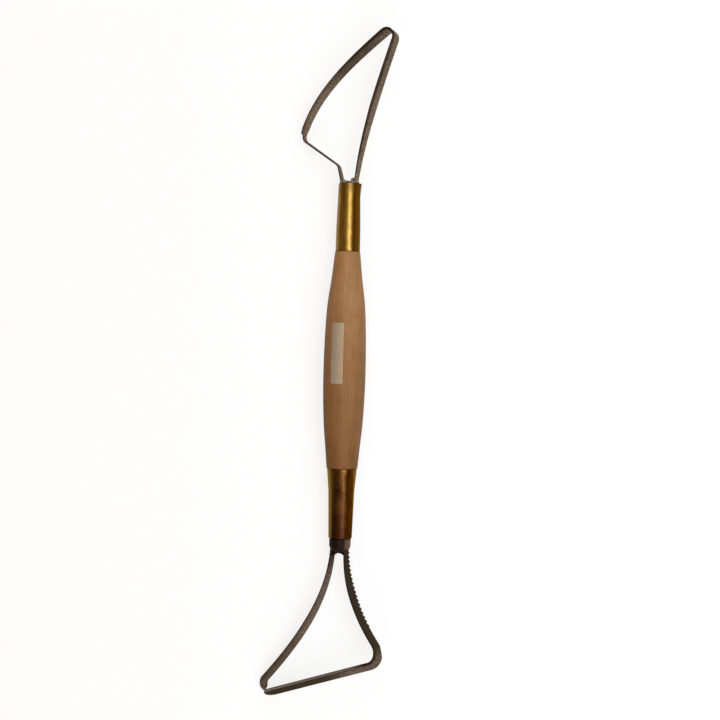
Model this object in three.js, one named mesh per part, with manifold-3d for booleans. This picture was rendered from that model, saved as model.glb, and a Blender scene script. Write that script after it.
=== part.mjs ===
// Loop tool for carving clay: a turned hardwood handle with a tapered brass ferrule at each end.
// Each ferrule holds the two tangs of a steel ribbon that is bent on edge into a loop.
// The upper loop is pointed. The lower loop has three sides, and one leg has saw teeth.
// Millimetres, +Z up. The tool lies on the plane z = 0 along Y, with the pointed loop towards +Y.

import * as THREE from 'three';
import { mergeGeometries, mergeVertices } from 'three/addons/utils/BufferGeometryUtils.js';
import Module from 'manifold-3d';

// Clearance between two pieces that touch in the real tool
const fitGap = 0.2;

// Handle barrel: radii of the turned wood, measured along the axis from its middle
const barrelLength = 82.2;
const bellyRadius = 8.05;
const bellyAlong = -5.8;
const upperSeatRadius = 4.8;
const lowerSeatRadius = 5.9;
const upperNeckLength = 10;
const upperNeckRise = 1.05;
const upperShoulderLength = 25.5;
const upperShoulderDrop = 0.75;
const lowerNeckLength = 8;
const lowerNeckRise = 0.7;
const lowerShoulderLength = 18;
const lowerShoulderDrop = 0.6;
const tenonLength = 15;

// Ferrules: brass sleeves, widest at the wood and narrowest at the mouth
const ferruleWall = 0.45;
const mouthChamfer = 0.15;
const upperFerrule = {
  length: 26.1,
  seatRadius: 4.65,
  flareLength: 9,
  waistRadius: 4.6,
  mouthRadius: 4.1,
};
const lowerFerrule = {
  length: 26.7,
  seatRadius: 5.7,
  flareLength: 8.5,
  waistRadius: 4.95,
  mouthRadius: 4.45,
};

// Steel ribbon: the same strip in both loops, ground narrower where it enters a ferrule
const ribbonThickness = 0.75;
const ribbonWidth = 4.76;
const ribbonChamfer = 0.12;
const tangWidth = 2.4;
const tangDepth = 18;

// Upper loop: bend centres are across the handle axis and above the ferrule mouth.
// A side's start and end say how far it turns there from the straight line between its bends,
// or at the mouth, how far it leans out from the handle axis. Twist turns the strip's edges.
const upperKnee = { across: -7.2, rise: 5.4, radius: 2.6 };
const upperCorner = { across: -18.5, rise: 19.1, radius: 2.8 };
const upperTip = { across: 15.5, rise: 54.2, radius: 2.9 };
const shortLegFoot = { start: 18, end: 0, twistStart: 0, twistEnd: 9 };
const shortLeg = { start: 0, end: 0, twistStart: 9, twistEnd: 5 };
const blade = { start: 24.8, end: 11.5, twistStart: 5, twistEnd: -17 };
const longLeg = { start: -4.3, end: 7.4, twistStart: 0, twistEnd: 0 };
const longLegFlareLength = 30;
const cornerNotch = 0.8;

// Lower loop: seen from its own mouth, so across is the other way round.
// A bend's overrun says how far the strip's outer edge runs on in the first half of the bend.
const barNearCorner = { across: -12.6, rise: 42.2, radius: 5.2, overrun: -1 };
const barFarCorner = { across: 30, rise: 59.6, radius: 3.1, overrun: 2.6 };
const toothedLeg = { start: -8.2, end: -20.6, twistStart: 0, twistEnd: 0, toothed: true };
const bar = { start: 0, end: 0, twistStart: 34, twistEnd: 34 };
const smoothLeg = { start: -15.5, end: -3.8, twistStart: -13.7, twistEnd: 0 };
const toothedLegFlareLength = 20;
const smoothLegFlareLength = 36;

// Saw teeth on the outer edge of the toothed leg
const toothPitch = 1.7;
const toothDepth = 1.1;
const toothStandout = 0.6;
const toothBack = 0.35;
const plainAtMouth = 4.5;
const plainAtCorner = 7.5;

// Filler in the two mouths. In the upper one a low cap carries a bead at each leg and one between them.
const capRadius = 3.9;
const capShoulder = 0.6;
const capTopRadius = 2.6;
const capHeight = 0.9;
const upperBeads = [
  { across: -2.4, radius: 1.4, height: 1.8 },
  { across: 1.5, radius: 1.2, height: 2.3 },
  { across: 2.9, radius: 1.2, height: 1.8 },
];
const lowerWebLength = 8.8;
const lowerWebThickness = 2.1;
const lowerArchDepth = 3;
const lumpRadius = 4.15;
const lumpShoulder = 3;
const lumpTopRadius = 3.4;
const lumpHeight = 5;

// Paper label, stuck lengthways on the barrel
const labelLength = 23;
const labelWidth = 4.6;
const labelAlong = 2.5;
const labelThickness = 0.15;
const labelGap = 0.1;
const labelTurn = 9;

// Fineness of the round and bent surfaces
const roundSides = 48;
const barrelSteps = 22;
const sideStep = 2.4;
const bendStep = 12;
const weldTolerance = 1e-5;

const degrees = THREE.MathUtils.degToRad;
const wasm = await Module();
wasm.setup();

function toSolid(geometry) {
  const bare = geometry.clone();
  bare.deleteAttribute('normal');
  bare.deleteAttribute('uv');
  const merged = mergeVertices(bare, weldTolerance);
  const corners = merged.index.array;
  const triangles = [];
  for (let i = 0; i < corners.length; i += 3) {
    const [a, b, c] = corners.slice(i, i + 3);
    if (a !== b && b !== c && c !== a) {
      triangles.push(a, b, c);
    }
  }
  return new wasm.Manifold(new wasm.Mesh({
    numProp: 3,
    vertProperties: merged.attributes.position.array,
    triVerts: new Uint32Array(triangles),
  }));
}

function toGeometry(solid) {
  const mesh = solid.getMesh();
  const geometry = new THREE.BufferGeometry();
  geometry.setAttribute('position', new THREE.BufferAttribute(mesh.vertProperties, 3));
  geometry.setIndex(new THREE.BufferAttribute(mesh.triVerts, 1));
  return geometry;
}

function turned(profile) {
  return new THREE.LatheGeometry(profile, roundSides);
}

function block(low, high) {
  const size = new THREE.Vector3().subVectors(high, low);
  const box = new THREE.BoxGeometry(size.x, size.y, size.z);
  const centre = new THREE.Vector3().addVectors(low, high).multiplyScalar(0.5);
  return toSolid(box.translate(centre.x, centre.y, centre.z));
}

function named(name, geometry, material) {
  const mesh = new THREE.Mesh(geometry, material);
  mesh.name = name;
  return mesh;
}

// Outside of a ferrule as [distance from the wood, radius], and its radius at any distance
function ferruleOutline(ferrule) {
  return [
    [0, ferrule.seatRadius],
    [ferrule.flareLength, ferrule.waistRadius],
    [ferrule.length, ferrule.mouthRadius],
  ];
}

function radiusOn(outline, along) {
  for (let i = 1; i < outline.length; i += 1) {
    const [from, fromRadius] = outline[i - 1];
    const [to, toRadius] = outline[i];
    if (along <= to || i === outline.length - 1) {
      return THREE.MathUtils.mapLinear(along, from, to, fromRadius, toRadius);
    }
  }
  return outline[0][1];
}

function stretchOf(outline, from, to) {
  const between = outline.filter(([along]) => along > from && along < to);
  return [[from, radiusOn(outline, from)], ...between, [to, radiusOn(outline, to)]];
}

// What fills a ferrule's bore, between two distances from the wood
function boreFill(ferrule, from, to) {
  return stretchOf(ferruleOutline(ferrule), from, to)
    .map(([along, radius]) => new THREE.Vector2(radius - ferruleWall - fitGap, along));
}

// The tangs lie side by side in the bore, as far apart as the bore at the mouth lets their corners go
function tangSpread(ferrule) {
  const bore = ferrule.mouthRadius - ferruleWall - fitGap;
  return Math.sqrt(bore ** 2 - (tangWidth / 2) ** 2) - ribbonThickness / 2;
}

// Open grooves for the two tangs, from a distance to past the mouth
function tangGrooves(ferrule, from) {
  const inner = tangSpread(ferrule) - ribbonThickness / 2 - fitGap;
  const half = tangWidth / 2 + fitGap;
  const outer = ferrule.seatRadius + ribbonThickness;
  const end = ferrule.length + tangDepth;
  const right = block(new THREE.Vector3(inner, from, -half), new THREE.Vector3(outer, end, half));
  const left = block(new THREE.Vector3(-outer, from, -half), new THREE.Vector3(-inner, end, half));
  return right.add(left);
}

function makeFerrule(ferrule) {
  const outline = stretchOf(ferruleOutline(ferrule), fitGap, ferrule.length - mouthChamfer);
  const outside = outline.map(([along, radius]) => new THREE.Vector2(radius, along));
  outside.push(new THREE.Vector2(ferrule.mouthRadius - mouthChamfer, ferrule.length));
  const inside = stretchOf(ferruleOutline(ferrule), fitGap, ferrule.length)
    .map(([along, radius]) => new THREE.Vector2(radius - ferruleWall, along))
    .reverse();
  return turned([...outside, ...inside, outside[0]]);
}

// Barrel outline between the two ferrule seats, as [along, radius]
function barrelOutline() {
  const end = barrelLength / 2;
  const waypoints = [
    [-end, lowerSeatRadius],
    [-end + lowerNeckLength, lowerSeatRadius + lowerNeckRise],
    [bellyAlong - lowerShoulderLength, bellyRadius - lowerShoulderDrop],
    [bellyAlong, bellyRadius],
    [bellyAlong + upperShoulderLength, bellyRadius - upperShoulderDrop],
    [end - upperNeckLength, upperSeatRadius + upperNeckRise],
    [end, upperSeatRadius],
  ];
  const curve = new THREE.CatmullRomCurve3(
    waypoints.map(([along, radius]) => new THREE.Vector3(radius, along, 0)),
  );
  return curve.getPoints(barrelSteps).map((point) => [point.y, point.x]);
}

function tenonStart(ferrule) {
  return ferrule.length - tangDepth - fitGap;
}

function makeBarrel() {
  const end = barrelLength / 2;
  const upperTenon = boreFill(upperFerrule, 0, tenonLength)
    .map((point) => new THREE.Vector2(point.x, end + point.y));
  const lowerTenon = boreFill(lowerFerrule, 0, tenonLength)
    .map((point) => new THREE.Vector2(point.x, -end - point.y))
    .reverse();
  const body = barrelOutline().map(([along, radius]) => new THREE.Vector2(radius, along));
  const tip = end + tenonLength;
  const profile = [
    new THREE.Vector2(0, -tip),
    ...lowerTenon,
    ...body,
    ...upperTenon,
    new THREE.Vector2(0, tip),
  ];
  const upperGrooves = tangGrooves(upperFerrule, tenonStart(upperFerrule)).translate([0, end, 0]);
  const lowerGrooves = tangGrooves(lowerFerrule, tenonStart(lowerFerrule))
    .rotate([0, 0, 180])
    .translate([0, -end, 0]);
  return toGeometry(toSolid(turned(profile)).subtract(upperGrooves).subtract(lowerGrooves));
}

function makePlug(ferrule) {
  const from = tenonLength + fitGap;
  const profile = [
    new THREE.Vector2(0, from),
    ...boreFill(ferrule, from, ferrule.length),
    new THREE.Vector2(0, ferrule.length),
  ];
  return toSolid(turned(profile)).subtract(tangGrooves(ferrule, 0));
}

// What stands on a mouth: a turned lump with a shoulder, on a core that joins it to the plug
function standingLump(ferrule, radius, shoulder, topRadius, height) {
  const coreRadius = ferrule.mouthRadius - ferruleWall - 2 * fitGap;
  return toSolid(turned([
    new THREE.Vector2(0, -fitGap),
    new THREE.Vector2(coreRadius, -fitGap),
    new THREE.Vector2(coreRadius, fitGap),
    new THREE.Vector2(radius, fitGap),
    new THREE.Vector2(radius, shoulder),
    new THREE.Vector2(topRadius, height),
    new THREE.Vector2(0, height),
  ]));
}

// Fills a ferrule and stands out of its mouth, with room for the strip
function makeFiller(ferrule, standing, strip) {
  const fitted = standing.subtract(toSolid(strip)).translate([0, ferrule.length, 0]);
  return toGeometry(makePlug(ferrule).add(fitted));
}

function makeUpperFiller() {
  const cap = standingLump(upperFerrule, capRadius, capShoulder, capTopRadius, capHeight);
  const beads = upperBeads.map(({ across, radius, height }) => {
    const bead = new THREE.SphereGeometry(1, roundSides / 2, roundSides / 4, 0, 2 * Math.PI, 0, Math.PI / 2);
    const foot = new THREE.CircleGeometry(1, roundSides / 2).rotateX(Math.PI / 2);
    const dome = mergeGeometries([bead, foot]).scale(radius, height - fitGap, radius);
    return toSolid(dome.translate(across, fitGap, 0));
  });
  return makeFiller(upperFerrule, wasm.Manifold.union([cap, ...beads]), makeUpperStrip(fitGap));
}

// The lower lump goes on as a web between the legs, which ends in an arch
function makeLowerFiller() {
  const lump = standingLump(lowerFerrule, lumpRadius, lumpShoulder, lumpTopRadius, lumpHeight);
  const half = tangSpread(lowerFerrule);
  const outline = new THREE.Shape();
  outline.moveTo(-half, 0);
  outline.lineTo(half, 0);
  outline.lineTo(half, lowerWebLength);
  outline.absellipse(0, lowerWebLength, half, lowerArchDepth, 0, Math.PI, true);
  const web = new THREE.ExtrudeGeometry(outline, {
    depth: lowerWebThickness,
    bevelEnabled: false,
    curveSegments: 6,
  });
  web.translate(0, 0, -lowerWebThickness / 2);
  return makeFiller(lowerFerrule, lump.add(toSolid(web)), makeLowerStrip(fitGap));
}

function direction(heading) {
  return new THREE.Vector2(Math.cos(heading), Math.sin(heading));
}

// Left-hand normal of a heading
function leftOf(heading) {
  return direction(heading + Math.PI / 2);
}

// The point where a path with this heading touches a bend
function touch(bend, heading) {
  const centre = new THREE.Vector2(bend.across, bend.rise);
  return centre.addScaledVector(leftOf(heading), -bend.radius);
}

// Heading of the straight line that touches two bends. A radius is negative where the path turns right.
function lineBetween(first, second) {
  const gap = new THREE.Vector2(second.across - first.across, second.rise - first.rise);
  return gap.angle() - Math.asin((second.radius - first.radius) / gap.length());
}

function lerp(from, to, share) {
  return THREE.MathUtils.lerp(from, to, share);
}

// Stations along a loop: straight tang, sides and bends in turn, straight tang
function loopStations(bends, sides) {
  const up = Math.PI / 2;
  const last = sides.length - 1;
  const headings = sides.map((side, i) => {
    const line = lineBetween(bends[i], bends[i + 1]);
    return {
      depart: (i === 0 ? up : line) + degrees(side.start),
      arrive: (i === last ? -up : line) - degrees(side.end),
    };
  });
  const foot = touch(bends[0], up);
  const stations = [{ at: foot.clone().setY(-tangDepth), heading: up, twist: 0 }];
  sides.forEach((side, i) => {
    const { depart, arrive } = headings[i];
    const from = touch(bends[i], depart);
    const to = touch(bends[i + 1], arrive);
    const reach = from.distanceTo(to) / 3;
    const curve = new THREE.CubicBezierCurve(
      from,
      direction(depart).multiplyScalar(reach).add(from),
      direction(arrive).multiplyScalar(-reach).add(to),
      to,
    );
    const length = curve.getLength();
    const steps = depart === arrive ? 1 : Math.ceil(length / sideStep);
    const shares = side.toothed ? toothShares(length) : evenShares(steps);
    for (const { share, tooth } of shares) {
      stations.push({
        at: curve.getPointAt(share),
        heading: curve.getTangentAt(share).angle(),
        twist: lerp(side.twistStart, side.twistEnd, share),
        tooth,
      });
    }
    if (i < last) {
      const turn = -THREE.MathUtils.euclideanModulo(arrive - headings[i + 1].depart, 2 * Math.PI);
      const full = bends[i + 1].radius > 0 ? turn + 2 * Math.PI : turn;
      const bendSteps = Math.ceil(Math.abs(full) / degrees(bendStep));
      for (let k = 1; k < bendSteps; k += 1) {
        const { overrun = 0 } = bends[i + 1];
        const heading = arrive + (full * k) / bendSteps;
        stations.push({
          at: touch(bends[i + 1], heading),
          heading,
          twist: lerp(side.twistEnd, sides[i + 1].twistStart, k / bendSteps),
          corner: i + 1,
          push: direction(arrive).multiplyScalar(overrun * humpAt((2 * k) / bendSteps)),
        });
      }
    }
  });
  const endFoot = stations[stations.length - 1];
  stations.push({ at: endFoot.at.clone().setY(-tangDepth), heading: -up, twist: 0 });
  return stations;
}

// A smooth hump between 0 and 1, and nothing past 1
function humpAt(share) {
  return Math.sin(Math.PI * Math.min(share, 1));
}

function evenShares(steps) {
  return Array.from({ length: steps + 1 }, (_, k) => ({ share: k / steps, tooth: 0 }));
}

// A toothed side has a station at every root and every tip. The tips stand out past the strip's edge.
function toothShares(length) {
  const shares = [{ share: 0, tooth: 0 }];
  const toothed = length - plainAtMouth - plainAtCorner;
  const count = Math.round(toothed / toothPitch);
  const pitch = toothed / count;
  for (let k = 0; k < count; k += 1) {
    const root = plainAtMouth + k * pitch;
    shares.push({ share: root / length, tooth: toothDepth - toothStandout });
    shares.push({ share: (root + pitch - toothBack) / length, tooth: -toothStandout });
  }
  const plainFrom = (length - plainAtCorner) / length;
  shares.push({ share: plainFrom, tooth: 0 });
  shares.push({ share: (plainFrom + 1) / 2, tooth: 0 });
  shares.push({ share: 1, tooth: 0 });
  return shares;
}

// How much of the full width the ribbon has at each station: 0 in the tang, 1 once it has flared out
// It stays narrow up to the end of the shoulder bend, if there is one, and drifts off the middle there.
function flareOf(stations, flareStart, flareEnd, shoulder) {
  const places = [0];
  for (let i = 1; i < stations.length; i += 1) {
    places.push(places[i - 1] + stations[i].at.distanceTo(stations[i - 1].at));
  }
  const total = places[places.length - 1];
  const shoulderEnd = stations.findLastIndex((station) => station.corner === shoulder);
  const neckEnd = shoulder ? places[shoulderEnd] : tangDepth;
  return places.map((place) => {
    const fromStart = (place - neckEnd) / flareStart;
    const fromEnd = (total - tangDepth - place) / flareEnd;
    return {
      share: THREE.MathUtils.clamp(Math.min(fromStart, fromEnd), 0, 1),
      drift: shoulder && place <= neckEnd ? Math.max(0, (place - tangDepth) / (neckEnd - tangDepth)) : 0,
    };
  });
}

// A straight strip with chamfered edges, bent station by station into the loop.
// Grown by a clearance, it is the room that the strip needs.
function bendRibbon(stations, flares, grown = 0) {
  const t = ribbonThickness / 2 + grown;
  const w = ribbonWidth / 2 + grown;
  const c = ribbonChamfer;
  const section = new THREE.Shape([
    new THREE.Vector2(-t + c, -w),
    new THREE.Vector2(t - c, -w),
    new THREE.Vector2(t, -w + c),
    new THREE.Vector2(t, w - c),
    new THREE.Vector2(t - c, w),
    new THREE.Vector2(-t + c, w),
    new THREE.Vector2(-t, w - c),
    new THREE.Vector2(-t, -w + c),
  ]);
  const steps = stations.length - 1;
  const strip = new THREE.ExtrudeGeometry(section, { steps, depth: steps, bevelEnabled: false });
  const corners = strip.attributes.position;
  for (let i = 0; i < corners.count; i += 1) {
    const k = Math.round(corners.getZ(i));
    const { at, heading, twist, tooth = 0, push } = stations[k];
    const { share, drift } = flares[k];
    const half = lerp(tangWidth, ribbonWidth, share) / 2 + grown;
    const outward = leftOf(heading);
    const across = new THREE.Vector3(
      -outward.x * Math.sin(degrees(twist)),
      -outward.y * Math.sin(degrees(twist)),
      Math.cos(degrees(twist)),
    );
    const along = new THREE.Vector3(...direction(heading), 0);
    const through = new THREE.Vector3().crossVectors(across, along);
    const inWidth = corners.getY(i);
    const towardsEdge = inWidth > 0 ? half - w : w - half + tooth;
    const point = new THREE.Vector3(at.x, at.y, 0)
      .addScaledVector(through, corners.getX(i))
      .addScaledVector(across, inWidth + towardsEdge - drift * cornerNotch);
    if (push && inWidth < 0) {
      point.add(new THREE.Vector3(...push, 0));
    }
    corners.setXYZ(i, point.x, point.y, point.z);
  }
  return strip;
}

function feet(ferrule) {
  const spread = tangSpread(ferrule);
  return [{ across: -spread, rise: 0, radius: 0 }, { across: spread, rise: 0, radius: 0 }];
}

// A bend that the path goes round clockwise
function clockwise(bend) {
  return { ...bend, radius: -bend.radius };
}

function makeUpperStrip(grown) {
  const [start, end] = feet(upperFerrule);
  const stations = loopStations(
    [start, upperKnee, clockwise(upperCorner), clockwise(upperTip), end],
    [shortLegFoot, shortLeg, blade, longLeg],
  );
  return bendRibbon(stations, flareOf(stations, ribbonThickness, longLegFlareLength, 2), grown);
}

function makeUpperLoop() {
  return toGeometry(toSolid(makeUpperStrip(0).translate(0, upperFerrule.length, 0)));
}

function makeLowerStrip(grown) {
  const [start, end] = feet(lowerFerrule);
  const stations = loopStations(
    [start, clockwise(barNearCorner), clockwise(barFarCorner), end],
    [toothedLeg, bar, smoothLeg],
  );
  const flares = flareOf(stations, toothedLegFlareLength, smoothLegFlareLength);
  return bendRibbon(stations, flares, grown);
}

function makeLowerLoop() {
  return toGeometry(toSolid(makeLowerStrip(0).translate(0, lowerFerrule.length, 0)));
}

// The label lies on the barrel's own outline, a clearance off the wood
function makeLabel() {
  const stretch = stretchOf(barrelOutline(), labelAlong - labelLength / 2, labelAlong + labelLength / 2);
  const lifted = (lift) => stretch.map(([along, radius]) => new THREE.Vector2(radius + lift, along));
  const inside = lifted(labelGap).reverse();
  const outside = lifted(labelGap + labelThickness);
  const ring = toSolid(turned([...outside, ...inside, outside[0]]));
  const cut = block(
    new THREE.Vector3(-labelWidth / 2, -barrelLength, 0),
    new THREE.Vector3(labelWidth / 2, barrelLength, 2 * bellyRadius),
  );
  return toGeometry(ring.intersect(cut.rotate([0, labelTurn, 0])));
}

// The tool rolls on its belly until the first corner of a ribbon meets the table
function restRoll(...loops) {
  let roll = Math.PI / 2;
  for (const corners of loops) {
    for (let i = 0; i < corners.count; i += 1) {
      const out = -corners.getX(i);
      const down = -corners.getZ(i);
      const radius = Math.hypot(out, down);
      if (out > 0 && radius > bellyRadius) {
        roll = Math.min(roll, Math.asin(bellyRadius / radius) - Math.atan2(down, out));
      }
    }
  }
  return roll;
}

const wood = new THREE.MeshStandardMaterial({ color: 0x9c7148, roughness: 0.7, metalness: 0 });
const brass = new THREE.MeshStandardMaterial({ color: 0xb08a3c, roughness: 0.28, metalness: 1 });
const darkBrass = new THREE.MeshStandardMaterial({ color: 0x8a6630, roughness: 0.35, metalness: 1 });
const steel = new THREE.MeshStandardMaterial({ color: 0x6f6053, roughness: 0.42, metalness: 1 });
const greyFiller = new THREE.MeshStandardMaterial({ color: 0xa8a29a, roughness: 0.5, metalness: 0 });
const darkFiller = new THREE.MeshStandardMaterial({ color: 0x2a1a12, roughness: 0.6, metalness: 0 });
const paper = new THREE.MeshStandardMaterial({ color: 0xb3a48e, roughness: 0.85, metalness: 0 });

const upperEnd = new THREE.Group();
upperEnd.position.y = barrelLength / 2;
upperEnd.add(named('upper_ferrule', makeFerrule(upperFerrule), brass));
upperEnd.add(named('upper_filler', makeUpperFiller(), greyFiller));
upperEnd.add(named('upper_loop', makeUpperLoop(), steel));

const lowerEnd = new THREE.Group();
lowerEnd.position.y = -barrelLength / 2;
lowerEnd.rotation.z = Math.PI;
lowerEnd.add(named('lower_ferrule', makeFerrule(lowerFerrule), darkBrass));
lowerEnd.add(named('lower_filler', makeLowerFiller(), darkFiller));
lowerEnd.add(named('lower_loop', makeLowerLoop(), steel.clone()));

const tool = new THREE.Group();
tool.add(named('handle_barrel', makeBarrel(), wood));
tool.add(named('paper_label', makeLabel(), paper));
tool.add(upperEnd, lowerEnd);

// Settle the tool on the table, then put the origin under the middle of its box
tool.updateMatrixWorld(true);
const edges = ['upper_loop', 'lower_loop'].map((name) => {
  const loop = tool.getObjectByName(name);
  return loop.geometry.clone().applyMatrix4(loop.matrixWorld).attributes.position;
});
tool.rotation.y = -restRoll(...edges);
const part = new THREE.Group();
part.add(tool);
part.updateMatrixWorld(true);
const box = new THREE.Box3().setFromObject(part, true);
const middle = box.getCenter(new THREE.Vector3());
tool.position.set(-middle.x, -middle.y, -box.min.z);

export default part;
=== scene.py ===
import math
import bmesh
import bpy
from mathutils import Matrix, Vector, noise


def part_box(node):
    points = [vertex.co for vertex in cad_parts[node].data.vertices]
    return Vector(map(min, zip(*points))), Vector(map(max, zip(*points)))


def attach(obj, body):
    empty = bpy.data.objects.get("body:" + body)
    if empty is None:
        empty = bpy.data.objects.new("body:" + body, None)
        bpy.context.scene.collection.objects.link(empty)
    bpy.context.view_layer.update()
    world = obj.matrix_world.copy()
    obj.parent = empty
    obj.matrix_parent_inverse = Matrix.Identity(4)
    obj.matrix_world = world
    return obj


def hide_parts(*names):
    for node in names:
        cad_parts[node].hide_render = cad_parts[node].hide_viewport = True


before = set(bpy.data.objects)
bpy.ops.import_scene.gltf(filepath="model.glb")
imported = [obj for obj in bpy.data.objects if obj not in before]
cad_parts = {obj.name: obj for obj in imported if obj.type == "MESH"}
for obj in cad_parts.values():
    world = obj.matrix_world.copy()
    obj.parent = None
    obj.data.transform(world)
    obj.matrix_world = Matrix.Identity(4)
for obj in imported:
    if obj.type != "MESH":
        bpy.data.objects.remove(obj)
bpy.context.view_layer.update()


# Camera
# The photograph looks down on the tool as it lies, rolled towards the tool's right side.
# Its scale is known at the depth of the handle's axis, and the handle's middle is at a known pixel.
mm = 0.001
camera_distance = 550 * mm
camera_roll = math.radians(20.5)
nearest_seen = 1 * mm
photo_pixels = 720
mm_per_pixel = 0.381
middle_column = 344.8
middle_row = 360.0
tool_lean = math.atan(0.0268)

handle_low, handle_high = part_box("handle_barrel")
handle_middle = (Vector(handle_low) + Vector(handle_high)) / 2
across = Vector((math.cos(camera_roll), 0, -math.sin(camera_roll)))
along = Vector((0, 1, 0))
towards_camera = Vector((math.sin(camera_roll), 0, math.cos(camera_roll)))
picture_right = across * math.cos(tool_lean) + along * math.sin(tool_lean)
picture_up = along * math.cos(tool_lean) - across * math.sin(tool_lean)
shift_right = (photo_pixels / 2 - middle_column) * mm_per_pixel * mm
shift_down = (middle_row - photo_pixels / 2) * mm_per_pixel * mm
looked_at = handle_middle + picture_right * shift_right + picture_up * shift_down


def put_in_scene(name, data):
    made = bpy.data.objects.new(name, data)
    bpy.context.scene.collection.objects.link(made)
    return made


camera_data = bpy.data.cameras.new("photo_camera")
camera_data.angle = 2 * math.atan(photo_pixels * mm_per_pixel * mm / 2 / camera_distance)
camera_data.clip_start = nearest_seen
camera = put_in_scene("photo_camera", camera_data)
turn = Matrix((picture_right, picture_up, towards_camera)).transposed()
camera.matrix_world = Matrix.Translation(looked_at + towards_camera * camera_distance) @ turn.to_4x4()
bpy.context.scene.camera = camera


# Wooden handle
# A turned, unfinished hardwood barrel, fattest just past its middle and sanded smooth.
# The ferrules are pressed over a thinner tenon at each end.
wood_sides = 128
wood_sharp_angle = 35
ring_decimals = 3
axis_weld = 0.01 * mm
wood_tones = [(0.375, 0.193, 0.077, 1), (0.258, 0.122, 0.036, 1), (0.220, 0.094, 0.024, 1)]
wood_tone_places = [(26 * mm, -18 * mm), (-20 * mm, -40 * mm)]
wood_streak_and_shade = (0.62, 0.56, 0.50, 1)
wood_blush = (1.0, 0.86, 0.70, 1)
wood_olive = (0.86, 0.94, 0.72, 1)
wood_roughness = (0.3, 0.7, 0.58, 0.72)
wood_specular = 0.3
# Roughly the picture's right side. Painted shade, painted reflections and a painted highlight are laid along
# this direction.
painted_light_angle = math.radians(20)
painted_light_side = Vector((math.cos(painted_light_angle), 0, -math.sin(painted_light_angle)))

# A cell is the size of a pattern's spots. A cover is the two values of a pattern, or the two places, that
# a colour grows between, and its share at each of them, or 0 and 1 if none is given. A roughness is
# given in the same way. A relief is a bump's height and its strength.
broad_cell = (3.2 * mm, 55 * mm, 3.2 * mm)
broad_waviness = 0.5
broad_cover = (0.42, 0.72, 0, 0.5)
fine_cell = (0.5 * mm, 13 * mm, 0.5 * mm)
fine_cover = (0.45, 0.75, 0, 0.4)
pore_cell = (0.25 * mm, 2.4 * mm, 0.25 * mm)
pore_cover = (0.58, 0.70, 0, 0.55)
pore_relief = (0.05 * mm, 0.5)
blush_cell = (6 * mm, 9 * mm, 6 * mm)
blush_cover = (0.45, 0.7, 0, 0.75)
olive_cell = (4 * mm, 7 * mm, 4 * mm)
olive_centre = (90 * mm, 0, 0)
olive_cover = (0.48, 0.7, 0, 0.8)
lathe_cell = (60 * mm, 0.6 * mm, 60 * mm)
lathe_cover = (0.5, 0.8, 0, 0.2)
lathe_relief = (0.03 * mm, 0.35)
# Painted shade on the barrel: darker towards its right side and at its left edge.
painted_shade_covers = [(0, 7 * mm, 0, 0.3), (-5.8 * mm, -8 * mm, 0, 0.4)]


def show(name, mesh):
    """A finished piece: in the scene, riding on the tool's only body."""
    piece = put_in_scene(name, mesh)
    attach(piece, "root")
    return piece


def mesh_from(name, shape):
    mesh = bpy.data.meshes.new(name)
    shape.to_mesh(mesh)
    shape.free()
    return mesh


def smooth(mesh, sharp_angle):
    """Smooth shading, but for edges that turn by more than an angle in degrees."""
    mesh.shade_smooth()
    mesh.set_sharp_from_angle(angle=math.radians(sharp_angle))


def rings_of(node_name, centre, pick=max):
    """A turned CAD node's rings as (place along the axis, radius), the widest or narrowest at each place."""
    rings = {}
    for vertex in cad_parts[node_name].data.vertices:
        x, y, z = vertex.co
        place = round(y / mm, ring_decimals)
        radius = math.hypot(x - centre.x, z - centre.z)
        rings[place] = pick(rings.get(place, radius), radius)
    return sorted((place * mm, radius) for place, radius in rings.items())


def turned(name, outline, centre, sides):
    """Spins an open or closed outline of (place, radius) round the handle's axis."""
    shape = bmesh.new()
    points = [shape.verts.new((centre.x + radius, place, centre.z)) for place, radius in outline]
    edges = [shape.edges.new(pair) for pair in zip(points, points[1:])]
    bmesh.ops.spin(shape, geom=points + edges, cent=centre, axis=along, dvec=(0, 0, 0),
                   angle=math.tau, steps=sides, use_merge=True, use_duplicate=False)
    bmesh.ops.remove_doubles(shape, verts=shape.verts, dist=axis_weld)
    bmesh.ops.recalc_face_normals(shape, faces=shape.faces)
    return mesh_from(name, shape)


def new_finish(name):
    """A new material, its tree of nodes and its shader."""
    material = bpy.data.materials.new(name)
    material.use_nodes = True
    return material, material.node_tree, material.node_tree.nodes["Principled BSDF"]


def plug(tree, socket, value):
    """Gives a socket a value, or another node's output to read."""
    if isinstance(value, bpy.types.NodeSocket):
        tree.links.new(value, socket)
    else:
        socket.default_value = value


def set_sockets(tree, made, **sockets):
    """Plugs sockets by their names, with _ for a space."""
    for name, value in sockets.items():
        plug(tree, made.inputs[name.replace("_", " ")], value)


def node(tree, kind, settings=None, **sockets):
    """Adds a shader node with its settings and named sockets."""
    made = tree.nodes.new("ShaderNode" + kind)
    for name, value in (settings or {}).items():
        setattr(made, name, value)
    set_sockets(tree, made, **sockets)
    return made


def worked_out(tree, kind, operation, *values):
    """Adds a Math or VectorMath node that works on values or other nodes' outputs."""
    made = node(tree, kind, {"operation": operation})
    for socket, value in zip(made.inputs, values):
        plug(tree, socket, value)
    return made


def place_from(tree, centre, cell=(1, 1, 1)):
    """Object coordinates from a centre, counted in cells of a size in metres along each axis."""
    coordinates = node(tree, "TexCoord").outputs["Object"]
    moved = worked_out(tree, "VectorMath", "SUBTRACT", coordinates, centre).outputs["Vector"]
    return worked_out(tree, "VectorMath", "DIVIDE", moved, cell).outputs["Vector"]


def reach(tree, direction, centre=handle_middle):
    """How far a point of the surface lies from a centre in a direction."""
    offset = place_from(tree, centre)
    return worked_out(tree, "VectorMath", "DOT_PRODUCT", offset, direction).outputs["Value"]


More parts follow.
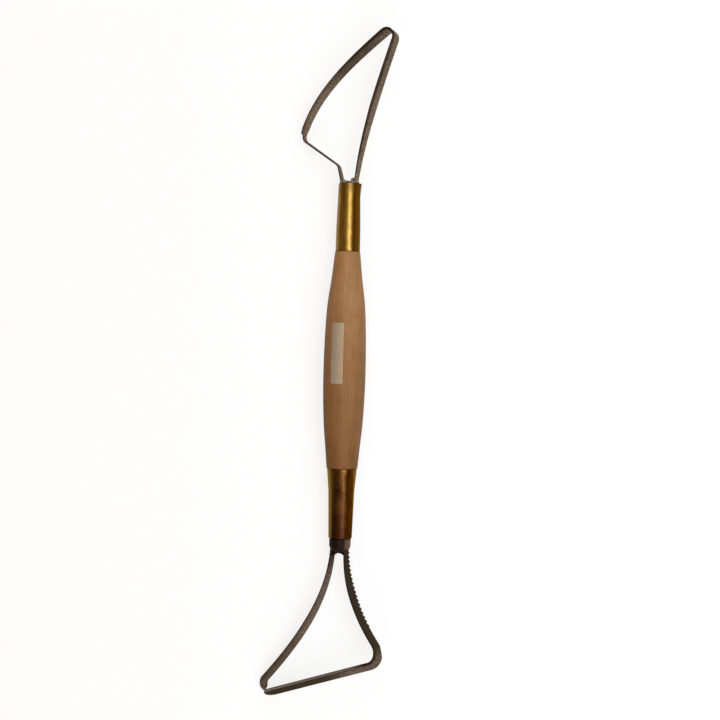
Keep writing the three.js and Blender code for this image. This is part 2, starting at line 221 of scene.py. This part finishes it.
def grain(tree, cell, centre=(0, 0, 0), detail=3, roughness=0.5, distortion=0):
    """A noise pattern with spots as large as a cell."""
    made = node(tree, "TexNoise", Vector=place_from(tree, centre, cell), Scale=1, Detail=detail,
                Roughness=roughness, Distortion=distortion)
    return made.outputs["Fac"]


def between(tree, value, low, high, to_low=0, to_high=1):
    """Stretches a value from one range to another, and holds it there."""
    made = node(tree, "MapRange", Value=value, From_Min=low, From_Max=high, To_Min=to_low, To_Max=to_high)
    return made.outputs["Result"]


def mixed(tree, share, first, second, blend="MIX"):
    made = node(tree, "MixRGB", {"blend_type": blend}, Fac=share, Color1=first, Color2=second)
    return made.outputs["Color"]


def bumped(tree, shader, height, distance, strength, after=None):
    """Gives a shader relief, on top of any that came before."""
    made = node(tree, "Bump", Height=height, Distance=distance, Strength=strength)
    if after:
        set_sockets(tree, made, Normal=after)
    set_sockets(tree, shader, Normal=made.outputs["Normal"])
    return made.outputs["Normal"]


def wood_finish():
    """Sanded close straight grain, darker towards the lower end, with painted shade down both sides."""
    material, tree, wood = new_finish("turned_hardwood")
    broad = grain(tree, broad_cell, detail=4, distortion=broad_waviness)
    fine = grain(tree, fine_cell)
    pores = grain(tree, pore_cell, detail=2)
    patches = grain(tree, blush_cell)
    handling = grain(tree, olive_cell, olive_centre)
    turning = grain(tree, lathe_cell, detail=2)
    height = reach(tree, along)
    colour = wood_tones[0]
    for tone, places in zip(wood_tones[1:], wood_tone_places):
        colour = mixed(tree, between(tree, height, *places), colour, tone)
    tints = [
        (patches, blush_cover, wood_blush),
        (handling, olive_cover, wood_olive),
        (broad, broad_cover, wood_streak_and_shade),
        (fine, fine_cover, wood_streak_and_shade),
        (pores, pore_cover, wood_streak_and_shade),
        (turning, lathe_cover, wood_streak_and_shade),
        # painted shade down both sides of the barrel
        *[(reach(tree, painted_light_side), cover, wood_streak_and_shade) for cover in painted_shade_covers],
    ]
    for pattern, cover, tint in tints:
        colour = mixed(tree, between(tree, pattern, *cover), colour, tint, "MULTIPLY")
    set_sockets(tree, wood, Base_Color=colour, Roughness=between(tree, fine, *wood_roughness),
                Specular_IOR_Level=wood_specular)
    lathe_marks = bumped(tree, wood, turning, *lathe_relief)
    bumped(tree, wood, pores, *pore_relief, after=lathe_marks)
    return material


def handle_outline():
    """The barrel between the ferrules, with a square step in to the tenon at each end."""
    rings = rings_of("handle_barrel", handle_middle)
    tenon_radius = dict(rings_of("handle_barrel", handle_middle, min))
    upper_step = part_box("upper_ferrule")[0][1]
    lower_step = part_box("lower_ferrule")[1][1]
    lower_tenon = [ring for ring in rings if ring[0] < lower_step]
    barrel = [ring for ring in rings if lower_step <= ring[0] <= upper_step]
    upper_tenon = [ring for ring in rings if ring[0] > upper_step]
    lower_end, upper_end = barrel[0][0], barrel[-1][0]
    return [
        (lower_tenon[0][0], 0),
        *lower_tenon,
        (lower_end, tenon_radius[lower_end]),
        *barrel,
        (upper_end, tenon_radius[upper_end]),
        *upper_tenon,
        (upper_tenon[-1][0], 0),
    ]


wood_mesh = turned("handle_wood", handle_outline(), handle_middle, wood_sides)
smooth(wood_mesh, wood_sharp_angle)
wood_mesh.materials.append(wood_finish())
handle_wood = show("handle_wood", wood_mesh)
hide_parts("handle_barrel")


# Brass ferrules
# Two sleeves of drawn tube, tapered from the wood to the mouth. The upper one is bright and its mouth is
# pushed out a little on one side by the long leg. The lower one is tarnished brown towards its mouth.
brass_sides = 128
brass_sharp_angle = 35
brass_rim = 0.12 * mm
brass_rim_angle = math.radians(40)
longest_uncut = 1 * mm
cuts_along = 6
mouth_bulge = 0.65 * mm
mouth_bulge_length = 5.5 * mm
mouth_bulge_fade = 1.5
mouth_bulge_focus = 3
bright_brass = (0.405, 0.236, 0.019, 1)
aged_brass = (0.27, 0.145, 0.013, 1)
stained_brass = (0.195, 0.088, 0.017, 1)
tarnish_brown = (0.058, 0.015, 0.004, 1)
tarnish_olive = (0.20, 0.145, 0.035, 1)
red_tarnish_and_reflection = (0.150, 0.042, 0.006, 1)
brass_edge_tint = (0.85, 0.62, 0.35, 1)
lacquer_roughness = 0.26
painted_shade_share = 0.9
drawing_cell = (0.3 * mm, 30 * mm, 0.3 * mm)
drawing_relief = (0.01 * mm, 0.5)
smudge_cell = (3 * mm, 5 * mm, 3 * mm)
smudge_cover = (0.35, 0.7)
smudge_relief = (0.12 * mm, 0.25)
smudge_weight = 0.9
olive_speck_cell = (0.5 * mm, 0.7 * mm, 0.5 * mm)
olive_speck_cover = (0.62, 0.75, 0, 0.35)
fleck_cell = (0.8 * mm, 2.6 * mm, 0.8 * mm)
fleck_range = (0.46, 0.66)
red_cell = (1.3 * mm, 3.5 * mm, 1.3 * mm)
red_centre = (0, 40 * mm, 0)
red_cover = (0.50, 0.66, 0, 0.7)
tarnish_range = (0.45, 1.35)
dullness_range = (0.3, 1.4)


def both(tree, first, second):
    """Where two masks overlap."""
    return worked_out(tree, "Math", "MULTIPLY", first, second).outputs["Value"]


def sleeve_mesh(name, node_name):
    """A tube with the CAD sleeve's own outside and bore."""
    outside = rings_of(node_name, handle_middle)
    inside = [ring for ring in rings_of(node_name, handle_middle, min) if ring not in outside]
    return turned(name, [*outside, *reversed(inside), outside[0]], handle_middle, brass_sides)


def sleeve(name, node_name, finish, mouth_up, bulge):
    """A sleeve with rounded rims, whose mouth may bulge on the right of the picture."""
    mesh = sleeve_mesh(name, node_name)
    shape = bmesh.new()
    shape.from_mesh(mesh)
    low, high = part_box(node_name)
    mouth = high[1] if mouth_up else low[1]
    rims = [edge for edge in shape.edges if edge.calc_face_angle(0) > brass_rim_angle]
    bmesh.ops.bevel(shape, geom=rims, offset=brass_rim, offset_type="OFFSET", segments=2, profile=0.5,
                    affect="EDGES", material=-1)
    long_edges = [edge for edge in shape.edges
                  if abs(edge.verts[0].co.y - edge.verts[1].co.y) > longest_uncut]
    bmesh.ops.subdivide_edges(shape, edges=long_edges, cuts=cuts_along, use_grid_fill=True)
    for vertex in shape.verts:
        out = vertex.co - handle_middle
        out.y = 0
        nearness = max(0, 1 - abs(vertex.co.y - mouth) / mouth_bulge_length)
        sideways = max(0, out.normalized().dot(across))
        vertex.co += across * bulge * nearness ** mouth_bulge_fade * sideways ** mouth_bulge_focus
    bmesh.ops.recalc_face_normals(shape, faces=shape.faces)
    shape.to_mesh(mesh)
    shape.free()
    smooth(mesh, brass_sharp_angle)
    mesh.materials.append(finish)
    piece = show(name, mesh)
    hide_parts(node_name)
    return piece


def brass_finish(name, clean, aged, mouth, tarnish_length, tarnish, roughness, flecked, lacquer,
                 painted_shade_side, painted_reflection_rim, painted_reflection_left):
    """Brass with drawing lines along it, finger marks, flecks, and tarnish that grows towards the mouth.

    On its right side painted shade stands in for the table's reflection, and the lacquer is left off there.
    Its far right rim and its left side carry painted reflections, and the band between the middle and the
    shaded side has red stains that are partly painted reflection. Each side is given as a colour and the two
    places between which it starts.
    """
    material, tree, brass = new_finish(name)
    lines = grain(tree, drawing_cell, detail=2)
    smudges = grain(tree, smudge_cell, detail=4)
    specks = grain(tree, olive_speck_cell, detail=2)
    flecks = grain(tree, fleck_cell)
    reddening = grain(tree, red_cell, red_centre, detail=4)
    sideways = reach(tree, painted_light_side)
    painted_shade_colour, *painted_shade_places = painted_shade_side
    painted_rim_colour, *painted_rim_places = painted_reflection_rim
    painted_left_colour, *painted_left_places = painted_reflection_left
    from_mouth = reach(tree, along, (0, mouth, 0))
    distance = worked_out(tree, "Math", "ABSOLUTE", from_mouth).outputs["Value"]
    near = between(tree, distance, 0, tarnish_length, 1, 0)
    uneven = worked_out(tree, "Math", "MULTIPLY_ADD", smudges, smudge_weight, near).outputs["Value"]
    # Red stains that are partly painted reflection, only in the band between the middle and the painted
    # shade.
    red_stain_and_painted_reflection = both(tree, between(tree, reddening, *red_cover), between(tree, sideways, 0, painted_shade_places[0]))
    colour = mixed(tree, between(tree, smudges, *smudge_cover), clean, aged)
    colour = mixed(tree, between(tree, specks, *olive_speck_cover), colour, tarnish_olive)
    colour = mixed(tree, between(tree, flecks, *fleck_range, 0, flecked), colour, tarnish_brown)
    colour = mixed(tree, between(tree, uneven, *tarnish_range, 0, tarnish), colour, tarnish_brown)
    # Painted reflection down the left side, then painted shade down the right, where the lacquer is left off
    # too.
    colour = mixed(tree, between(tree, sideways, *painted_left_places), colour, painted_left_colour)
    colour = mixed(tree, between(tree, sideways, *painted_shade_places, 0, painted_shade_share), colour, painted_shade_colour)
    colour = mixed(tree, red_stain_and_painted_reflection, colour, red_tarnish_and_reflection)
    # Painted reflection on the far right rim.
    colour = mixed(tree, between(tree, sideways, *painted_rim_places), colour, painted_rim_colour)
    set_sockets(tree, brass, Base_Color=colour, Metallic=1, Specular_Tint=brass_edge_tint,
                Roughness=between(tree, uneven, *dullness_range, *roughness),
                Coat_Weight=between(tree, sideways, *painted_shade_places, lacquer, 0),
                Coat_Roughness=lacquer_roughness)
    scratches = bumped(tree, brass, lines, *drawing_relief)
    bumped(tree, brass, smudges, *smudge_relief, after=scratches)
    return material


upper_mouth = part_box("upper_ferrule")[1][1]
lower_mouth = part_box("lower_ferrule")[0][1]
# Each ferrule's last three colours are painted shade on its right, a painted reflection on that rim, and a
# painted reflection on its left.
upper_brass_finish = brass_finish(
    "bright_brass", bright_brass, aged_brass, upper_mouth, tarnish_length=5 * mm, tarnish=0.35,
    roughness=(0.36, 0.45), flecked=0.15, lacquer=0.66,
    painted_shade_side=((0.100, 0.036, 0.003, 1), 1.1 * mm, 2.1 * mm),
    painted_reflection_rim=((0.165, 0.100, 0.034, 1), 3.7 * mm, 4.3 * mm),
    painted_reflection_left=((0.17, 0.105, 0.025, 1), -3.4 * mm, -4.1 * mm))
lower_brass_finish = brass_finish(
    "tarnished_brass", stained_brass, tarnish_brown, lower_mouth, tarnish_length=23 * mm, tarnish=0.97,
    roughness=(0.37, 0.52), flecked=0.55, lacquer=0.12,
    painted_shade_side=((0.060, 0.018, 0.001, 1), 1.3 * mm, 2.3 * mm),
    painted_reflection_rim=((0.190, 0.100, 0.032, 1), 4.2 * mm, 4.8 * mm),
    painted_reflection_left=((0.21, 0.145, 0.035, 1), -2.9 * mm, -3.5 * mm))
upper_brass = sleeve("upper_brass", "upper_ferrule", upper_brass_finish, mouth_up=True, bulge=mouth_bulge)
lower_brass = sleeve("lower_brass", "lower_ferrule", lower_brass_finish, mouth_up=False, bulge=0)


# Steel ribbons
# Two hardened strips, bent on edge into loops and left with a brown heat scale. Painted shade darkens
# their upper edges, their legs near the lower mouth, and the lower loop's bar and toothed leg. The teeth
# are filed into that leg's far edge. Pale, barely metallic clay dust on the near edge of the bar is also
# a painted highlight there.
ribbon_sharp_angle = 28
flat_angle = math.radians(0.05)
cad_weld = 0.002 * mm
upper_scale = [(0.212, 0.153, 0.104, 1), (0.262, 0.205, 0.150, 1)]
lower_scale = [(0.174, 0.122, 0.090, 1), (0.214, 0.166, 0.130, 1)]
dark_scale_and_shade = (0.036, 0.025, 0.017, 1)
worn_steel = (0.32, 0.27, 0.21, 1)
clay_dust_and_highlight = (0.150, 0.120, 0.092, 1)
dust_and_highlight_metallic = 0.15
steel_edge_tint = (0.64, 0.58, 0.50, 1)
steel_roughness = (0.3, 0.7, 0.38, 0.55)
blotch_cell = (3.5 * mm, 3.5 * mm, 3.5 * mm)
blotch_roughness = 0.6
blotch_cover = (0.36, 0.66)
mottle_cell = (0.7 * mm, 0.7 * mm, 0.7 * mm)
mottle_cover = (0.44, 0.64, 0, 0.62)
mottle_relief = (0.02 * mm, 0.5)
worn_speck_cell = (0.2 * mm, 0.2 * mm, 0.2 * mm)
worn_speck_cover = (0.66, 0.8, 0, 0.5)
worn_speck_relief = (0.02 * mm, 0.4)

# Places on the loops are counted from the handle's middle, with the bar's own direction for the bar.
# A patch is its centre, the radius to which it is darkest, the radius at which it ends, and its share.
rightward = Vector((1, 0, 0))
loop_tilt = math.radians(9.9)
loop_normal = Vector((-math.sin(loop_tilt), 0, math.cos(loop_tilt)))
# Painted shade along the strips' upper edges, on the toothed leg, near the lower mouth and on the bar.
painted_edge_shade = (1.0 * mm, 1.6 * mm)
painted_edge_shade_cover = (-6 * mm, 2 * mm, 0.4, 0.9)
blade_patch = ((2 * mm, 115 * mm), 8 * mm, 18 * mm, 0.6)
painted_bar_shade_patch = ((-20 * mm, -126 * mm), 16 * mm, 27 * mm, 0.97)
corner_patch = ((-22 * mm, -122 * mm), 7 * mm, 18 * mm, 0.35)
bar_turn = math.radians(22.2)
bar_out = Vector((math.sin(bar_turn), -math.cos(bar_turn), 0))
bar_places = (106.5 * mm, 108 * mm)
bar_edge = (1.6 * mm, 1.8 * mm)
bar_corner = (12 * mm, 7 * mm)
painted_leg_shade_cover = (0.5 * mm, 2.5 * mm, 0, 0.93)
tooth_end = (-112 * mm, -107 * mm)
painted_mouth_shade_cover = (-84 * mm, -76 * mm, 0, 0.8)


def dark_patch(tree, centre, inner, outer, share):
    """How dark a patch is round a point: a share within the inner radius, and nothing past the outer."""
    offset = place_from(tree, Vector((*centre, 0)) + handle_middle)
    away = worked_out(tree, "VectorMath", "LENGTH", offset).outputs["Value"]
    return between(tree, away, inner, outer, share, 0)


def steel_finish(name, scale, patch, toothed=False):
    """Heat-scaled steel with a darker patch and painted shade along its upper edge.

    The toothed one also has painted shade on its toothed leg, its bar and near the lower mouth.
    """
    material, tree, steel = new_finish(name)
    blotches = grain(tree, blotch_cell, detail=5, roughness=blotch_roughness)
    mottle = grain(tree, mottle_cell, detail=4)
    specks = grain(tree, worn_speck_cell, detail=2)
    sideways = reach(tree, rightward)
    upwards = reach(tree, loop_normal)
    on_bar = between(tree, reach(tree, bar_out), *bar_places)
    colour = mixed(tree, between(tree, blotches, *blotch_cover), *scale)
    colour = mixed(tree, between(tree, mottle, *mottle_cover), colour, dark_scale_and_shade)
    colour = mixed(tree, between(tree, specks, *worn_speck_cover), colour, worn_steel)
    colour = mixed(tree, dark_patch(tree, *patch), colour, dark_scale_and_shade)
    if toothed:
        # Painted shade on the toothed leg, near the lower mouth and on the outer part of the bar.
        height = reach(tree, along)
        beside = between(tree, sideways, *painted_leg_shade_cover)
        above_bar = between(tree, height, *tooth_end)
        colour = mixed(tree, both(tree, beside, above_bar), colour, dark_scale_and_shade)
        colour = mixed(tree, between(tree, height, *painted_mouth_shade_cover), colour, dark_scale_and_shade)
        colour = mixed(tree, both(tree, on_bar, dark_patch(tree, *painted_bar_shade_patch)), colour, dark_scale_and_shade)
    # Painted shade along the strip's upper edge.
    edge_shade_mask = between(tree, upwards, *painted_edge_shade)
    edge_shade_mask = both(tree, edge_shade_mask, between(tree, sideways, *painted_edge_shade_cover))
    colour = mixed(tree, edge_shade_mask, colour, dark_scale_and_shade)
    # Clay dust on the bar's near edge that is also a painted highlight: pale and barely metallic.
    dust_and_highlight = both(tree, on_bar, between(tree, upwards, *bar_edge))
    dust_and_highlight = both(tree, dust_and_highlight, between(tree, sideways, *bar_corner))
    colour = mixed(tree, dust_and_highlight, colour, clay_dust_and_highlight)
    set_sockets(tree, steel, Base_Color=colour, Metallic=between(tree, dust_and_highlight, 0, 1, 1, dust_and_highlight_metallic),
                Specular_Tint=steel_edge_tint, Roughness=between(tree, mottle, *steel_roughness))
    pitting = bumped(tree, steel, mottle, *mottle_relief)
    bumped(tree, steel, specks, *worn_speck_relief, after=pitting)
    return material


def copy_of(name, node_name):
    """A merged copy of a CAD node's mesh, ready to be shaped further."""
    shape = bmesh.new()
    shape.from_mesh(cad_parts[node_name].data)
    bmesh.ops.remove_doubles(shape, verts=shape.verts, dist=cad_weld)
    return mesh_from(name, shape)


def ribbon(name, node_name, finish):
    """The CAD strip with its flat faces merged and its bends shaded as one smooth surface."""
    mesh = copy_of(name, node_name)
    shape = bmesh.new()
    shape.from_mesh(mesh)
    bmesh.ops.dissolve_limit(shape, angle_limit=flat_angle, verts=shape.verts, edges=shape.edges)
    shape.to_mesh(mesh)
    shape.free()
    smooth(mesh, ribbon_sharp_angle)
    mesh.materials.append(finish)
    piece = show(name, mesh)
    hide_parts(node_name)


plain_steel = steel_finish("heat_scaled_steel", upper_scale, blade_patch)
ribbon("upper_ribbon", "upper_loop", plain_steel)
toothed_steel = steel_finish("toothed_steel", lower_scale, corner_patch, toothed=True)
ribbon("lower_ribbon", "lower_loop", toothed_steel)


# Set filler in the two mouths
# Glue that was poured round the tangs and has set. The upper one is grey and small.
# The lower one stands out of the mouth as a dark lump, with a web between the legs that ends in an arch.
filler_voxel = 0.16 * mm
filler_smoothings = 3
filler_smoothing = 0.5
filler_ripple = 0.12 * mm
filler_ripple_size = 1.6 * mm
filler_ripple_sink = 0.5
grey_filler = (0.30, 0.255, 0.215, 1)
grey_filler_stain = (0.11, 0.072, 0.046, 1)
dark_filler = (0.008, 0.003, 0.001, 1)
dark_filler_dust = (0.022, 0.010, 0.005, 1)
painted_highlight_filler = (0.12, 0.062, 0.040, 1)
filler_specular = 0.1
filler_roughness_swing = 0.1
filler_blotch_cell = (1.6 * mm, 2.2 * mm, 1.6 * mm)
filler_blotch_cover = (0.42, 0.68)
grit_cell = (0.25 * mm, 0.25 * mm, 0.25 * mm)
grit_range = (0.3, 0.7)
grit_relief = (0.06 * mm, 0.6)


def filler_finish(name, body, dust, roughness, painted_highlight_places=None):
    """Set glue with blotches and grit. It may be paler on its right as a painted highlight."""
    material, tree, filler = new_finish(name)
    blotches = grain(tree, filler_blotch_cell, detail=4)
    grit = grain(tree, grit_cell, detail=2)
    colour = mixed(tree, between(tree, blotches, *filler_blotch_cover), body, dust)
    if painted_highlight_places:
        # A painted highlight: a paler colour on the glue's right side.
        colour = mixed(tree, between(tree, reach(tree, painted_light_side), *painted_highlight_places), colour, painted_highlight_filler)
    dull = between(tree, grit, *grit_range, roughness - filler_roughness_swing,
                   roughness + filler_roughness_swing)
    set_sockets(tree, filler, Base_Color=colour, Roughness=dull, Specular_IOR_Level=filler_specular)
    bumped(tree, filler, grit, *grit_relief)
    return material


def filler_lump(name, node_name, finish):
    """The CAD filler, closed up and rippled like something that was poured and set."""
    mesh = copy_of(name, node_name)
    piece = show(name, mesh)
    remesh = piece.modifiers.new("set", "REMESH")
    remesh.mode = "VOXEL"
    remesh.voxel_size = filler_voxel
    depsgraph = bpy.context.evaluated_depsgraph_get()
    rough = bmesh.new()
    rough.from_object(piece, depsgraph)
    piece.modifiers.clear()
    for _ in range(filler_smoothings):
        bmesh.ops.smooth_vert(rough, verts=rough.verts, factor=filler_smoothing,
                              use_axis_x=True, use_axis_y=True, use_axis_z=True)
    rough.normal_update()
    for vertex in rough.verts:
        ripple = noise.noise(vertex.co / filler_ripple_size)
        vertex.co += vertex.normal * filler_ripple * (ripple - filler_ripple_sink)
    rough.to_mesh(mesh)
    rough.free()
    mesh.shade_smooth()
    mesh.materials.append(finish)
    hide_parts(node_name)
    return piece


grey_glue = filler_finish("grey_glue", grey_filler, grey_filler_stain, roughness=0.5)
upper_glue = filler_lump("upper_glue", "upper_filler", grey_glue)
dark_glue = filler_finish("dark_glue", dark_filler, dark_filler_dust, roughness=0.55,
                          painted_highlight_places=(1.3 * mm, 2.6 * mm))
lower_glue = filler_lump("lower_glue", "lower_filler", dark_glue)


# Paper label
# A bare strip of matt paper, stuck lengthways on the barrel. Its edges have been rubbed
# and one corner has started to lift.
half_sheet = 0.5
label_cells_along = 60
label_cells_round = 16
label_sharp_angle = 40
label_thick = 0.1 * mm
label_lift = 0.12 * mm
lifted_length = 0.07
lifted_width = 0.3
label_edge_wobble = 0.09 * mm
label_wobbles_round = 3
label_wobbles_along = 9
label_wobble_focus = 8
same_place = 0.001 * mm
least_step = 0.000001 * mm
paper_light = (0.415, 0.305, 0.195, 1)
paper_left_tone = (0.27, 0.22, 0.165, 1)
paper_stain = (0.31, 0.215, 0.13, 1)
paper_roughness = 0.82
paper_specular = 0.25
fibre_cell = (0.3 * mm, 0.6 * mm, 0.3 * mm)
fibre_cover = (0.5, 0.8, 0, 0.35)
fibre_relief = (0.03 * mm, 0.5)
paper_stain_cell = (2.5 * mm, 4 * mm, 2.5 * mm)
paper_stain_cover = (0.45, 0.75, 0, 0.6)
paper_left_cover = (1.5 * mm, -1.5 * mm, 0, 0.7)


def paper_finish():
    """Fibrous paper, stained in places and darker and greyer on its left."""
    material, tree, paper = new_finish("label_paper")
    fibres = grain(tree, fibre_cell, detail=4)
    stains = grain(tree, paper_stain_cell)
    colour = mixed(tree, between(tree, stains, *paper_stain_cover), paper_light, paper_stain)
    colour = mixed(tree, between(tree, fibres, *fibre_cover), colour, paper_stain)
    towards_left = between(tree, reach(tree, rightward), *paper_left_cover)
    colour = mixed(tree, towards_left, colour, paper_left_tone)
    set_sockets(tree, paper, Base_Color=colour, Roughness=paper_roughness,
                Specular_IOR_Level=paper_specular)
    bumped(tree, paper, fibres, *fibre_relief)
    return material


def label_mesh():
    """A thin sheet that is bent round the barrel, where the CAD label is."""
    low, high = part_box("paper_label")
    outline = rings_of("paper_label", handle_middle)
    angles = [math.atan2(vertex.co.x - handle_middle.x, vertex.co.z - handle_middle.z)
              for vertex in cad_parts["paper_label"].data.vertices]
    first_angle, last_angle = min(angles), max(angles)
    shape = bmesh.new()
    bmesh.ops.create_grid(shape, x_segments=label_cells_round, y_segments=label_cells_along,
                          size=half_sheet)
    for vertex in shape.verts:
        u, v = vertex.co.x + half_sheet, vertex.co.y + half_sheet
        edge_u, edge_v = abs(2 * u - 1), abs(2 * v - 1)
        place = low[1] + (high[1] - low[1]) * v
        before = max(ring for ring in outline if ring[0] <= place + same_place)
        after = min(ring for ring in outline if ring[0] >= place - same_place)
        share = (place - before[0]) / max(after[0] - before[0], least_step)
        radius = before[1] + (after[1] - before[1]) * share
        spot = Vector((u * label_wobbles_round, v * label_wobbles_along, 0))
        wobble = noise.noise(spot) * label_edge_wobble
        place += wobble * edge_v ** label_wobble_focus
        angle = first_angle + (last_angle - first_angle) * u
        angle += wobble / radius * edge_u ** label_wobble_focus
        lifted = max(0, v - 1 + lifted_length) / lifted_length * max(0, lifted_width - u) / lifted_width
        radius += label_lift * lifted - label_thick / 2
        vertex.co = handle_middle + Vector((math.sin(angle) * radius, 0, math.cos(angle) * radius))
        vertex.co.y = place
    bmesh.ops.recalc_face_normals(shape, faces=shape.faces)
    middle_face = min(shape.faces, key=lambda face: (face.calc_center_median() - handle_middle).length)
    if middle_face.normal.dot(middle_face.calc_center_median() - handle_middle) < 0:
        bmesh.ops.reverse_faces(shape, faces=shape.faces)
    bmesh.ops.solidify(shape, geom=shape.faces, thickness=label_thick)
    mesh = mesh_from("label", shape)
    smooth(mesh, label_sharp_angle)
    mesh.materials.append(paper_finish())
    return mesh


label = show("label", label_mesh())
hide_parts("paper_label")


# Table and light
# A plain table shows white to the camera and in the metal, and keeps a light shadow of the tool. A lamp
# near the camera gives the brass its bright line, two wide lamps light the tool from its ends, and a weak
# panel lights its left side. The room is dim and warm brown, which gives the metal its dark bands.
floor_reach = 16
floor_white = (0.97, 0.97, 0.97, 1)
floor_roughness = 0.9
floor_glow = (1.0, 1.0, 1.0, 1)
floor_glow_strength = 1.04
floor_glow_share = 0.75
room_tone = (0.24, 0.165, 0.10, 1)
lamp_tint = (0.95, 1.0, 1.08)
key_angle = math.radians(15.5)
key_slant = math.radians(35)
key_distance = 1.25
key_size = (0.5, 0.95)
key_power = 8.4
end_height = math.radians(38)
end_side = math.radians(5)
end_distance = 1.1
end_size = (0.9, 0.8)
end_power = 4.6
side_height = math.radians(6)
side_distance = 0.8
side_size = (0.16, 1.6)
side_power = 0.3


def either(tree, first, second):
    return worked_out(tree, "Math", "MAXIMUM", first, second).outputs["Value"]


def floor_finish():
    """White under the lamps. Most of what the camera and the metal see of it is a white glow."""
    material, tree, white = new_finish("white_table")
    set_sockets(tree, white, Base_Color=floor_white, Roughness=floor_roughness, Specular_IOR_Level=0)
    rays = node(tree, "LightPath").outputs
    seen = either(tree, rays["Is Camera Ray"], rays["Is Glossy Ray"])
    seen = either(tree, seen, rays["Is Transmission Ray"])
    glow = node(tree, "Emission", Color=floor_glow, Strength=floor_glow_strength)
    look = node(tree, "MixShader", Fac=between(tree, seen, 0, 1, 0, floor_glow_share))
    plug(tree, look.inputs[1], white.outputs["BSDF"])
    plug(tree, look.inputs[2], glow.outputs["Emission"])
    set_sockets(tree, tree.nodes["Material Output"], Surface=look.outputs["Shader"])
    return material


floor_shape = bmesh.new()
bmesh.ops.create_grid(floor_shape, x_segments=1, y_segments=1, size=floor_reach)
floor_mesh = mesh_from("table_top", floor_shape)
floor_mesh.materials.append(floor_finish())
floor = put_in_scene("table_top", floor_mesh)


def around(angle):
    """The direction in the plane across the handle, at an angle to the right of the camera."""
    return towards_camera * math.cos(angle) + across * math.sin(angle)


def soft_lamp(name, direction, distance, size, power, slant=0):
    """A rectangular lamp that faces the handle's middle from a direction."""
    light = bpy.data.lights.new(name, "AREA")
    light.shape = "RECTANGLE"
    light.size, light.size_y = size
    light.energy = power
    light.color = lamp_tint
    lamp = put_in_scene(name, light)
    back = direction.normalized()
    side = along.cross(back).normalized()
    facing = Matrix((side, back.cross(side), back)).transposed() @ Matrix.Rotation(slant, 3, "Z")
    lamp.matrix_world = Matrix.Translation(handle_middle + back * distance) @ facing.to_4x4()


soft_lamp("key_lamp", around(key_angle), key_distance, key_size, key_power, key_slant)
for name, end in (("upper_end_lamp", 1), ("lower_end_lamp", -1)):
    end_direction = along * end * math.cos(end_height) + around(end_side) * math.sin(end_height)
    soft_lamp(name, end_direction, end_distance, end_size, end_power)
side_direction = Vector((-math.cos(side_height), 0, math.sin(side_height)))
soft_lamp("side_panel", side_direction, side_distance, side_size, side_power)

world = bpy.data.worlds.new("room")
bpy.context.scene.world = world
world.use_nodes = True
world.node_tree.nodes["Background"].inputs["Color"].default_value = room_tone
world.node_tree.nodes["Background"].inputs["Strength"].default_value = 1
bpy.context.scene.view_settings.view_transform = "Standard"
